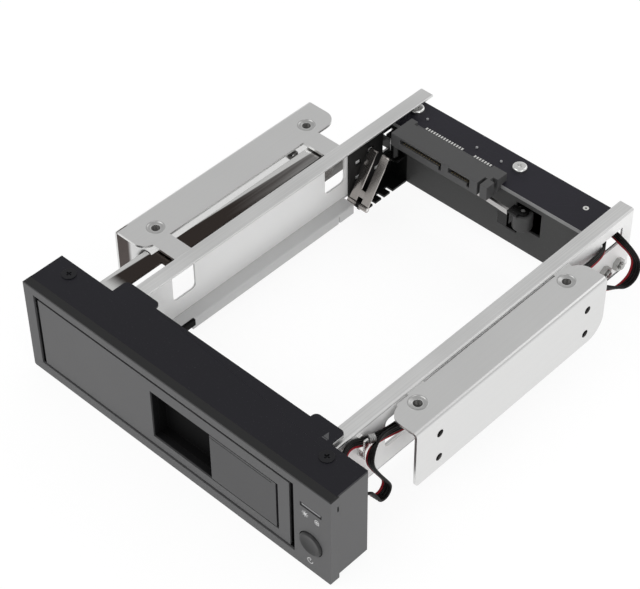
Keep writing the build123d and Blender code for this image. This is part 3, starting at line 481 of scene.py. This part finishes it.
ink, ink_place, ink_shader = start_finish("pale_ink")
ink_cover = cloud(ink_place, 3000, 2)
feed(ink_shader, Base_Color=mixed(ink_cover, (0.5, 0.5, 0.5), (0.86, 0.86, 0.86)),
     Roughness=0.5 + ink_cover * 0.1)
signs = bmesh.new()
ink_arc(signs, power_sign, 1.15, 0.34, math.radians(-62), -math.radians(304))
ink_and_shade_strip(signs, power_sign[0] - 0.17, 5.0, power_sign[0] + 0.17, 6.5)
ink_arc(signs, lamp_sign, 0.34, 0.66, 0, math.tau, 16)
for step in range(rays_of_lamp):
    ray = ink_and_shade_strip(signs, lamp_sign[0] - 0.12, 28.15, lamp_sign[0] + 0.12, 28.85)
    tilt = Matrix.Rotation(step * math.tau / rays_of_lamp, 3, "Y")
    bmesh.ops.rotate(signs, cent=at(lamp_sign[0], 0, lamp_sign[1]), matrix=tilt, verts=ray)
ink_and_shade_frame(signs, 66.9, 26.0, 68.8, 28.2, 0.3, 0.3)
ink_arc(signs, disk_sign, 0.3, 0.36, 0, math.tau, 16)
bmesh.ops.recalc_face_normals(signs, faces=signs.faces)
made("printed_signs", signs, "cage", ink, "lamp")
# Painted shade: a black frame round the light bar's slot, and a black mark for a small slot on the bezel's
# right side.
bar_slot_shade = bmesh.new()
ink_and_shade_frame(bar_slot_shade, 60.4, 30.2, 69.9, 32.0, 0.35, 0.15)
brick(bar_slot_shade, at(73.98, 3.1, 34.7), at(74.0, 3.7, 37.2))
made("light_bar_slot_shade", bar_slot_shade, "cage", painted_shade_black, "black_plastic")


# Cover details: the bare cut edge of its right ear, and a small printed arrow beside it.
bare_edge = steel("bare_edge", (0.85, 0.85, 0.84), 0.3, 0.05, (1, 1, 1))
ear_edge = bmesh.new()
brick(ear_edge, at(57.5, 18.6, 41.0), at(57.62, 23.6, 41.9))
made("bare_ear_edge", ear_edge, "cage", bare_edge, "bright_steel")
arrow_height = 42.012
arrow_corners = ((53.0, 18.9), (55.4, 18.9), (53.2, 21.4))
grey_ink = moulded("grey_ink", (0.07, 0.07, 0.075), 0.5)
mark = bmesh.new()
brick(mark, at(52.9, 18.3, 41.99), at(55.2, 18.7, 42.01))
mark.faces.new([mark.verts.new(at(x, y, arrow_height)) for x, y in arrow_corners])
made("cover_mark", mark, "cage", grey_ink, "black_plastic")


# Rails: two stainless channels with a top flange, a ledge under the drive and a lip below it, cut and bent
# from sheet, with rolling lines along their length. Below the flange their walls are painted near-white and
# mostly not metallic, a painted reflection of the bright room, and the ledge and lip are painted flat grey, a
# painted reflection of the ceiling.
bay_centre_x = 6.3
rail_wall, rail_tip = 51.8, 45.4
rail_top = 38.9
ledge_bottom, ledge_top = 10.8, 11.6
same_place = 1e-5
rail_steel, rail_place, rail_shader = start_finish("rail_steel")
rail_lines = cloud(rail_place, 2600, 3, (1, 0.004, 1))
rail_smears = cloud(rail_place, 30, 3)
rail_height = axis_of(rail_place, "Z")
# Painted reflection: by height, the walls are painted near-white and less metallic, and the ledge and lip
# flat grey.
ledge_painted_reflection = rail_height < 0.0118
wall_painted_reflection = rail_height < 0.038
rail_tone = mixed(rail_lines * 0.6 + rail_smears * 0.4 + wall_painted_reflection,
                  (0.52, 0.52, 0.515), (0.96, 0.96, 0.955))
feed(rail_shader, Base_Color=mixed(ledge_painted_reflection, rail_tone, (0.62, 0.62, 0.62)), Metallic=1.0 - wall_painted_reflection * 0.8,
     Roughness=0.34 + rail_smears * 0.1 + rail_lines * 0.06, Normal=bumped(rail_lines, 0.000004, 0.5))


def bend(shape, corners, segments=5):
    """Rounds the long edges that run through the given corners (x, z, radius), all in millimetres."""
    for x, z, radius in corners:
        corner = at(x, 0, z)
        run = [edge for edge in shape.edges
               if all(abs(v.co.x - corner.x) < same_place and abs(v.co.z - corner.z) < same_place
                      for v in edge.verts)]
        bmesh.ops.bevel(shape, geom=run, offset=radius / 1000, segments=segments, profile=0.5,
                        affect="EDGES", material=-1)


def sheet_piece(shape, node, finish):
    """Stands a bent sheet in for its node."""
    sheet = made(node + "_sheet", shape, "cage", finish, slot_of(node))
    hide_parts(node)
    flats = sheet.modifiers.new("flats", "WEIGHTED_NORMAL")
    flats.keep_sharp = True


for side, node in ((-1, "left_rail"), (1, "right_rail")):
    shape = joined_copy(node)
    wall, tip = bay_centre_x + side * rail_wall, bay_centre_x + side * rail_tip
    bend(shape, ((wall, rail_top, 0.75), (wall, ledge_bottom, 0.6),
                 (tip, ledge_top, 0.6), (tip, rail_top, 0.3)))
    sheet_piece(shape, node, rail_steel)


# Fasteners: polished screws and rivets, duller nuts at the rear, and a black block in the notch of the left
# rail's lip, painted shade where the notch shows only shade.
fastener_steel = steel("fastener_steel", (0.8, 0.8, 0.79), 0.2, 0.05, (1, 1, 1))
nut_steel = steel("nut_steel", (0.42, 0.42, 0.41), 0.24, 0.3, (1, 1, 1))
fasteners = (("rail_screws", 0.3, fastener_steel), ("crossmember_screws", 0.3, nut_steel),
             ("crossmember_nuts", 0.25, nut_steel), ("left_bracket_rivets", 0.3, fastener_steel),
             ("right_bracket_rivets", 0.3, fastener_steel), ("rear_board_screws", 0.12, fastener_steel))
for node, radius, finish in fasteners:
    eased(node, node + "_finished", radius, finish)
# Painted shade: a black block fills the notch of the left rail's lip.
notch_shade_low, notch_shade_high = at(-39.9, 40.8, 8.7), at(-38.6, 48.0, 11.75)
notch_shade_block = bmesh.new()
brick(notch_shade_block, notch_shade_low, notch_shade_high)
round_edges(made("lip_notch_shade", notch_shade_block, "cage", painted_shade_black, "black_plastic"), 0.2)


# Side brackets: stainless angles that reach the bay's mounting faces, with a real bend radius. The flange's
# holes are dimpled and threaded, and the side's are collared; the threads and collars are painted dark,
# painted shade inside the holes. The left bracket's inner face near its front end is painted dark brown, a
# painted reflection of the dark bezel, and the right flange's edge comes closer to the rail.
mount_face = 73.0
flange_top = 38.0
bracket_gauge = 1.0
flange_edge, flange_edge_seen = 0.0596, 0.0588
hole_depths = (54.2, 133.45)
hole_heights = (17.75, 29.59)
flange_hole_x = 63.3
bracket_steel, bracket_place, bracket_shader = start_finish("bracket_steel")
bracket_lines = cloud(bracket_place, 2600, 3, (1, 0.004, 1))
bracket_smears = cloud(bracket_place, 30, 3)
# Painted reflection: the left bracket's inner face near the bezel is painted dark brown.
near_bezel = ramped(axis_of(bracket_place, "Y") + bracket_smears * 0.004, -0.0405, -0.0385, 1.0, 0.0)
bracket_side = axis_of(bracket_place, "X")
inner_left = (bracket_side > -0.07205) * (bracket_side < -0.0715)
bracket_tone = mixed(bracket_lines * 0.6 + bracket_smears * 0.4,
                     (0.7, 0.7, 0.695), (0.77, 0.77, 0.765))
feed(bracket_shader, Base_Color=mixed(near_bezel * inner_left, bracket_tone, (0.09, 0.075, 0.07)),
     Metallic=1.0, Roughness=0.28 + bracket_smears * 0.08, Normal=bumped(bracket_lines, 0.000004, 0.5))
for side, node in ((-1, "left_side_bracket"), (1, "right_side_bracket")):
    shape = joined_copy(node)
    bend(shape, ((side * mount_face, flange_top, 1.5),
                 (side * (mount_face - bracket_gauge), flange_top - bracket_gauge, 0.6)))
    for vertex in shape.verts:
        if abs(vertex.co.x - flange_edge) < same_place and vertex.co.z > 0.0369:
            vertex.co.x = flange_edge_seen
    sheet_piece(shape, node, bracket_steel)
bush_steel = steel("bush_steel", (0.5, 0.5, 0.495), 0.3, 0.1, (1, 1, 1))
# Painted shade: the threads and side collars are dark steel, as the shade inside the holes.
bore_shade_steel = steel("bore_shade_steel", (0.1, 0.098, 0.095), 0.34, 0.3, (0.2, 0.2, 4))
bush_profile = [(3.62, 37.98), (3.5, 38.07), (3.3, 38.07), (3.16, 37.9), (2.7, 37.72), (2.0, 37.68),
                (1.72, 37.5), (1.72, 37.3), (3.0, 37.3), (3.4, 37.5), (3.62, 37.98)]
collar_profile = [(2.2, 71.9), (1.6, 72.6), (1.5, 72.0), (1.5, 70.6), (1.8, 70.4), (2.15, 70.7),
                  (2.2, 71.9)]
thread_top = 37.2
thread_pitch = 0.5
thread_count = 6
bushes, bores, collars = bmesh.new(), bmesh.new(), bmesh.new()
for side in (-1, 1):
    for y in hole_depths:
        eye = at(side * flange_hole_x, y - 0.6, 0)
        turned(bushes, bush_profile, eye, (0, 0, 1))
        for thread in range(thread_count):
            high = thread_top - thread * thread_pitch
            low, middle = high - thread_pitch, high - thread_pitch / 2
            thread_profile = [(2.1, high), (1.62, high), (1.36, middle), (1.62, low), (2.1, low), (2.1, high)]
            turned(bores, thread_profile, eye, (0, 0, 1), 24)
        for z in hole_heights:
            turned(collars, collar_profile, at(0, y, z), (side, 0, 0), 24)
made("flange_bushes", bushes, "cage", bush_steel, "stainless")
made("flange_threads", bores, "cage", bore_shade_steel, "stainless")
made("side_collars", collars, "cage", bore_shade_steel, "stainless")


# Crossmember and rear board: black lacquered steel bent round the back of the bay, with the board screwed on
# its shelf and the two ports under it. The crossmember's left arm, and a sheet set in its notch, are painted
# near-black, painted shade.
arm_inside = -0.0353
# Painted shade: left of arm_inside, the left arm and the sheet in the notch are painted near-black.
cross_lacquer = lacquered("cross_lacquer", (0.062, 0.062, 0.062), 0.5,
                          black=lambda place: axis_of(place, "X") < arm_inside)
eased("rear_crossmember", "crossmember", 0.18, cross_lacquer)
eased("roller_housing", "roller_box", 0.15, cross_lacquer)
notch_shade_sheet = bmesh.new()
brick(notch_shade_sheet, at(-43.5, 165.0, 20.6), at(-36.0, 165.6, 31.9))
made("notch_painted_shade", notch_shade_sheet, "cage", cross_lacquer, "black_steel")
eased("rear_board", "connector_board", 0.08, board_finish, 1)
connector_plastic = moulded("connector_plastic", (0.062, 0.062, 0.063), 0.46)
eased("drive_connector", "drive_socket", 0.15, connector_plastic)
port_plastic = moulded("port_plastic", (0.02, 0.02, 0.021), 0.45)
for node in ("data_port", "power_port"):
    eased(node, node + "_shell", 0.2, port_plastic)
eased("rear_cable_headers", "rear_sockets", 0.2, socket_plastic)
contact_gold = steel("contact_gold", (0.85, 0.7, 0.42), 0.25, 0.06)
dress("connector_contacts", contact_gold)
tinned = steel("tinned", (0.82, 0.82, 0.8), 0.35, 0.06)
dress("connector_solder_legs", tinned)
eyelet_centre = at(42.5, 171.0, 0)
eyelet_profile = [(0.4, 34.2), (0.88, 34.2), (0.88, 34.6), (1.15, 34.6), (1.15, 34.63), (0.4, 34.63),
                  (0.4, 34.2)]
eyelet = bmesh.new()
turned(eyelet, eyelet_profile, eyelet_centre, (0, 0, 1), 24)
made("board_eyelet", eyelet, "cage", tinned, "bright_steel")
peg_plastic = moulded("peg_plastic", (0.3, 0.3, 0.31), 0.5)
dress("connector_pegs", peg_plastic)


# Ejector: a polished slide bar in two guides along the left rail, a lever on an upright pin and a black
# roller that pushes the drive out. The bar is painted dark brown behind the bezel, a painted reflection,
# broken by bright streaks more towards the rear, and left bright in a strip along its outer edge.
slide_steel, slide_place, slide_shader = start_finish("slide_steel")
slide_lines = cloud(slide_place, 2600, 3, (1, 0.01, 1))
slide_reflection_breaks = cloud(slide_place, 110, 3, (6, 0.12, 1))
slide_depth = axis_of(slide_place, "Y")
slide_behind_bezel = ramped(slide_depth, -0.067, -0.06)
slide_inside_edge = ramped(axis_of(slide_place, "X") - slide_depth * 0.05 + 0.0541, 0.0, 0.0006)
slide_rear = ramped(slide_depth, -0.02, 0.04, 0.15, 0.75)
# Painted reflection: dark brown over the bar behind the bezel, broken by streaks towards the rear.
slide_painted_reflection = slide_behind_bezel * slide_inside_edge * (1.1 - slide_rear * slide_reflection_breaks)
feed(slide_shader, Base_Color=mixed(slide_painted_reflection, (0.8, 0.8, 0.79), (0.045, 0.036, 0.032)), Metallic=1.0,
     Roughness=0.2 + slide_lines * 0.08, Normal=bumped(slide_lines, 0.000004, 0.5))
eased("slide_bar", "slide_strip", 0.2, slide_steel)
eased("slide_bar_guides", "slide_guides", 0.2, socket_plastic)
lever_steel, lever_place, lever_shader = start_finish("lever_steel")
lever_lines = cloud(lever_place, 2600, 3, (0.01, 1, 1))
lever_low = axis_of(lever_place, "Z") < 0.0277
lever_dark = lever_low.math("MAXIMUM", lever_low, axis_of(lever_place, "X") > 0.0188)
lever_tone = mixed(lever_lines, (0.34, 0.33, 0.33), (0.56, 0.55, 0.54))
feed(lever_shader, Base_Color=mixed(lever_dark, lever_tone, (0.03, 0.03, 0.03)), Metallic=1.0,
     Roughness=0.24 + lever_lines * 0.08, Normal=bumped(lever_lines, 0.000004, 0.5))
eased("ejector_lever", "lever_arm", 0.15, lever_steel)
roller_plastic = moulded("roller_plastic", (0.05, 0.05, 0.05), 0.5)
eased("ejector_roller", "roller_wheel", 0.5, roller_plastic, 3)


# Hold-down fork: two sprung steel prongs on one pin, with curled tips, which a drive lays flat.
fork_steel = steel("fork_steel", (0.5, 0.47, 0.45), 0.2, 0.3, (1, 0.02, 0.02))
eased("hold_down_fork", "fork", 0.12, fork_steel)


# Harness: two flat ribbons of four wires each, three black and one dark red at the edge, from the
# front sockets along the right rail to the rear sockets, through a steel clip. A point of a route
# holds the ribbon's middle and the direction across its wires.
clip_steel = steel("clip_steel", (0.85, 0.85, 0.84), 0.25, 0.06)
eased("cable_clip", "wire_clip", 0.15, clip_steel)
tie_centre = at(62.1, 34.2, 35.6)
tie_profile = [(1.5, -2.4), (1.75, -2.2), (1.5, -1.9), (1.75, -1.6), (1.5, -1.3), (1.75, -1.0), (1.5, -0.7),
               (1.75, -0.4), (1.5, -0.1), (1.2, -0.1), (1.2, -2.4), (1.5, -2.4)]
tie = bmesh.new()
turned(tie, tie_profile, tie_centre, (0.5, 0.85, 0), 24)
made("ribbon_tie", tie, "cage", bush_steel, "bright_steel")
wire_pitch = 1.09
wire_width = 0.00106
upper_length, lower_length = 0.161, 0.222
black_places = (-0.5, 0.5, 1.5)
red_place = -1.5


def wire_sheath(name, colour, rough):
    """Soft PVC: nearly smooth, with a faint lengthwise drag and fingerprints."""
    material, place, shader = start_finish(name)
    drag = cloud(place, 1400, 2, (1, 0.06, 1))
    prints = cloud(place, 140, 3)
    lighter = tuple(c * 1.25 + 0.002 for c in colour)
    feed(shader, Base_Color=mixed(drag * 0.5 + prints * 0.5, tuple(c * 0.75 for c in colour), lighter),
         Roughness=rough - 0.06 + prints * 0.14, Normal=bumped(drag, 0.00002, 0.4),
         Specular_IOR_Level=0.16)
    return material


black_sheath = wire_sheath("black_sheath", (0.005, 0.0045, 0.0045), 0.5)
red_sheath = wire_sheath("red_sheath", (0.3, 0.012, 0.02), 0.4)
upper_route = (
    ((64.4, 16.9, 25.0), (0, 0, 1)), ((63.2, 18.6, 30.2), (0, -0.5, 1)), ((60.5, 20.2, 36.6), (0, -0.4, 1)),
    ((58.9, 25.6, 36.8), (0, 0, 1)), ((59.1, 31.6, 33.2), (0, 0, 1)), ((59.6, 40.0, 30.4), (0, 0, 1)),
    ((59.9, 50.0, 29.2), (0, 0, 1)), ((60.1, 60.0, 30.2), (0, 0, 1)), ((60.4, 74.0, 33.0), (0, 0, 1)),
    ((60.9, 108.0, 33.5), (0, 0, 1)), ((61.1, 138.0, 33.2), (0, 0, 1)), ((60.6, 154.0, 31.6), (0, 0, 1)),
    ((58.4, 162.4, 29.9), (0, 0, 1)), ((54.6, 166.8, 29.8), (0, 0, 1)), ((50.2, 168.0, 29.6), (0, 0, 1)),
)
lower_route = (
    ((66.0, 16.7, 14.0), (0, 0, 1)), ((66.2, 21.2, 17.0), (0.2, 0, 1)), ((66.0, 26.0, 18.2), (0.7, 0, 0.8)),
    ((65.9, 29.2, 14.0), (1, 0, 0.3)), ((65.8, 30.9, 10.1), (1, 0, 0)), ((65.6, 35.0, 9.3), (1, 0, 0)),
    ((65.3, 37.2, 12.7), (1, 0, 0)), ((65.0, 35.0, 16.8), (1, 0, 0)), ((64.5, 32.0, 22.0), (1, 0, 0)),
    ((64.1, 28.8, 28.8), (1, -0.2, 0.3)), ((63.6, 31.0, 34.4), (0.7, 0, 0.7)),
    ((62.1, 36.8, 33.6), (0.2, 0, 1)), ((61.1, 43.0, 30.6), (0, 0, 1)), ((61.2, 50.0, 28.4), (0, 0, 1)),
    ((61.4, 62.0, 27.4), (0, 0, 1)), ((61.2, 90.0, 27.6), (0, 0, 1)), ((61.4, 122.0, 27.2), (0, 0, 1)),
    ((61.6, 142.0, 24.8), (0, 0, 1)), ((63.0, 153.5, 19.8), (0.3, 0, 1)),
    ((65.0, 161.5, 15.0), (0.7, 0, 0.7)), ((65.4, 167.0, 12.6), (1, 0, 0.2)),
    ((65.6, 172.4, 14.0), (1, 0, 0)), ((65.2, 174.4, 19.4), (1, 0, 0)),
    ((63.6, 172.6, 24.6), (0.9, 0, 0.3)), ((60.6, 170.6, 28.8), (0.5, 0, 0.9)),
    ((55.8, 171.4, 29.8), (0, 0, 1)), ((50.2, 172.4, 29.8), (0, 0, 1)),
)


def wire(name, route, across_place, finish, slot, length):
    """One wire of a ribbon, on a smooth curve beside the ribbon's middle line."""
    line = [at(*middle) + Vector(across).normalized() * across_place * wire_pitch / 1000
            for middle, across in route]
    curve = bpy.data.curves.new(name, "CURVE")
    curve.dimensions = "3D"
    curve.bevel_depth = wire_width / 2
    curve.bevel_resolution = 3
    curve.resolution_u = 8
    curve.use_fill_caps = True
    spline = curve.splines.new("NURBS")
    spline.points.add(len(line) - 1)
    for point, place in zip(spline.points, line):
        point.co = (*place, 1)
    spline.order_u = 3
    spline.use_endpoint_u = True
    curve.materials.append(finish)
    piece = placed(name, curve)
    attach(piece, "cage")
    return piece


for ribbon, route, length in (("upper", upper_route, upper_length), ("lower", lower_route, lower_length)):
    black_wires = [wire(f"{ribbon}_wire_black_{count}", route, place, black_sheath, "wire_black", length)
                   for count, place in enumerate(black_places, 1)]
    red_wire = wire(f"{ribbon}_wire_red", route, red_place, red_sheath, "wire_red", length)
    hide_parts(f"{ribbon}_ribbon_black")
    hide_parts(f"{ribbon}_ribbon_red")


# Floor and light: a pale floor that keeps the object's shadow, a bright grey room and three broad
# lamps. The camera sees the floor and the room nearly white.
floor_half = 4.0
floor_gap = 0.0002
floor_white = 0.84
floor_shape = bmesh.new()
bmesh.ops.create_grid(floor_shape, x_segments=1, y_segments=1, size=floor_half)
bmesh.ops.translate(floor_shape, vec=(0, 0, -floor_gap), verts=floor_shape.verts)
floor_mesh = bpy.data.meshes.new("floor")
floor_shape.to_mesh(floor_mesh)
floor_shape.free()
floor = placed("floor", floor_mesh)
floor_paint = bpy.data.materials.new("floor_paint")
floor_paint.use_nodes = True
floor_tree = floor_paint.node_tree
floor_shader = floor_tree.nodes["Principled BSDF"]
floor_shader.inputs["Base Color"].default_value = (0.9, 0.9, 0.9, 1)
floor_shader.inputs["Roughness"].default_value = 0.9
rays = floor_tree.nodes.new("ShaderNodeLightPath")
seen = (Socket(floor_tree, rays.outputs["Is Camera Ray"]) + Socket(floor_tree, rays.outputs["Is Glossy Ray"])
        + Socket(floor_tree, rays.outputs["Is Transmission Ray"])) * floor_white
white = Socket(floor_tree).node("ShaderNodeEmission", sockets={"Color": (1, 1, 1, 1), "Strength": 1.06})
painted = Socket(floor_tree, floor_shader.outputs[0])
floor_mix = seen.node("ShaderNodeMixShader", sockets={0: seen, 1: painted, 2: white})
floor_tree.links.new(floor_mix.socket, floor_tree.nodes["Material Output"].inputs["Surface"])
floor_mesh.materials.append(floor_paint)

world = bpy.data.worlds.new("room")
bpy.context.scene.world = world
world.use_nodes = True
room = world.node_tree
background = room.nodes["Background"]
direction = Socket(room).node("ShaderNodeTexCoord", output="Generated")
height = direction.node("ShaderNodeSeparateXYZ", sockets={"Vector": direction}, output="Z")
ceiling_stops = ((0.02, (0.95, 0.95, 0.95, 1)), (0.5, (0.6, 0.6, 0.6, 1)))
ceiling = height.node("ShaderNodeValToRGB", {"stops": ceiling_stops}, {"Fac": height})
camera_ray = Socket(room, room.nodes.new("ShaderNodeLightPath").outputs["Is Camera Ray"])
room.links.new(mixed(camera_ray, ceiling, (1, 1, 1)).socket, background.inputs["Color"])
background.inputs["Strength"].default_value = 1.0


cage_middle = Vector((0, 0, 0.02))


def lamp(name, place, size, power):
    """A square soft box that faces the middle of the cage."""
    light = bpy.data.lights.new(name, "AREA")
    light.shape = "SQUARE"
    light.size = size
    light.energy = power
    box = placed(name, light)
    box.location = place
    box.rotation_euler = (cage_middle - Vector(place)).to_track_quat("-Z", "Y").to_euler()


lamp("key_lamp", (-0.5, -0.7, 1.1), 0.9, 3.2)
lamp("side_lamp", (1.1, -0.3, 0.6), 0.8, 2.6)
lamp("back_lamp", (0.2, 1.0, 0.9), 0.8, 1.6)


# Camera: it stands in front of the bezel's right end, half above, where the photograph was taken.
azimuth, elevation, roll = (math.radians(angle) for angle in (43.683, 44.313, -0.552))
aim = at(0, 90, 20)
camera_back, camera_right, camera_up = 0.723219, -0.010271, -0.000078
back = Vector((math.sin(azimuth) * math.cos(elevation), -math.cos(azimuth) * math.cos(elevation),
               math.sin(elevation)))
level = Vector((math.cos(azimuth), math.sin(azimuth), 0))
upright = back.cross(level)
right = level * math.cos(roll) + upright * math.sin(roll)
up = upright * math.cos(roll) - level * math.sin(roll)
lens = bpy.data.cameras.new("camera")
lens.sensor_width = 36.0
lens.lens = 112.13
lens.shift_x = -0.0054
camera = placed("camera", lens)
turn = Matrix((right, up, back)).transposed().to_4x4()
stand = aim + right * camera_right + up * camera_up + back * camera_back
camera.matrix_world = Matrix.Translation(stand) @ turn
bpy.context.scene.camera = camera
bpy.context.scene.view_settings.view_transform = "Standard"
